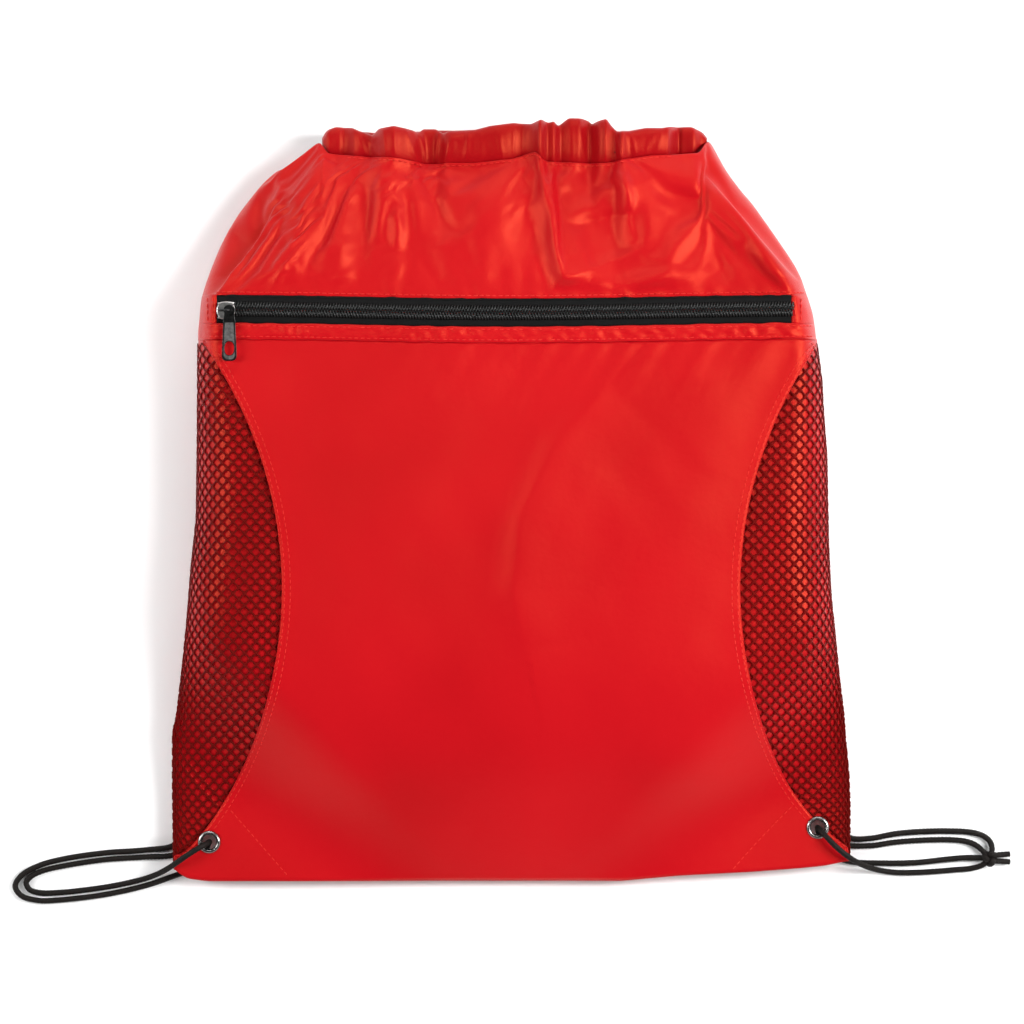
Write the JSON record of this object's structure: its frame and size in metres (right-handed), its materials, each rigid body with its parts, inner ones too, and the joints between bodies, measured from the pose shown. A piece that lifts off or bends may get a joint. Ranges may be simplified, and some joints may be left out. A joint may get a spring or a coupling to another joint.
{
  "type": "drawstring backpack",
  "caption": "Drawstring backpack lying on its back, with a gathered mouth, an hourglass zip pocket between mesh sides, corner eyelets and braided cords.",
  "frame": {"origin": "middle of the underside the bag lies on, halfway between the bottom seam and the top of the mouth", "axes": "+X across the bag, to the right seen from the front; +Y from the bottom seam to the mouth; +Z out of the front"},
  "size_m": [0.545, 0.4246, 0.0585],
  "materials": {
    "red_fabric": "satin woven polyester",
    "mesh_fabric": "open warp-knit polyester net",
    "zipper_tape": "matt woven tape",
    "zipper_coil": "nylon coil, semi-matt",
    "slider_metal": "nickel-plated zinc",
    "pull_metal": "dark gunmetal lacquer",
    "eyelet_metal": "gunmetal nickel",
    "cord_braid": "matt braided polyester"
  },
  "bodies": {
    "bag": {"back_panel": "red_fabric", "pocket_back_panel": "red_fabric", "upper_front_panel": "red_fabric", "front_pocket_panel": "red_fabric", "pocket_top_hem": "red_fabric", "front_channel": "red_fabric", "back_channel": "red_fabric", "mesh_panel_left": "mesh_fabric", "zipper_end_tab_left": "red_fabric", "corner_patch_left": "red_fabric", "eyelet_left": "eyelet_metal", "eyelet_washer_left": "eyelet_metal", "mesh_panel_right": "mesh_fabric", "zipper_end_tab_right": "red_fabric", "corner_patch_right": "red_fabric", "eyelet_right": "eyelet_metal", "eyelet_washer_right": "eyelet_metal", "zipper_tape_lower": "zipper_tape", "zipper_coil_lower": "zipper_coil", "zipper_tape_upper": "zipper_tape", "zipper_coil_upper": "zipper_coil", "drawcord_left_in_channels": "cord_braid", "drawcord_right_in_channels": "cord_braid", "drawcord_left_long": "cord_braid", "drawcord_left_short": "cord_braid", "drawcord_right_front": "cord_braid", "drawcord_right_back": "cord_braid", "drawcord_right_bight": "cord_braid", "knot_left": "cord_braid", "knot_right": "cord_braid"},
    "slider": {"zipper_slider": "slider_metal"},
    "pull": {"zipper_pull": "pull_metal"}
  },
  "joints": [
    {"name": "zipper_slide", "type": "slide", "parent": "bag", "child": "slider", "axis": [1, 0, 0], "range_m": [0, 0.295]},
    {"name": "pull_swivel", "type": "hinge", "parent": "slider", "child": "pull", "pos_m": [-0.151, 0.1033, 0.0566], "axis": [0, 0, 1], "range_deg": [-20, 180]}
  ]
}
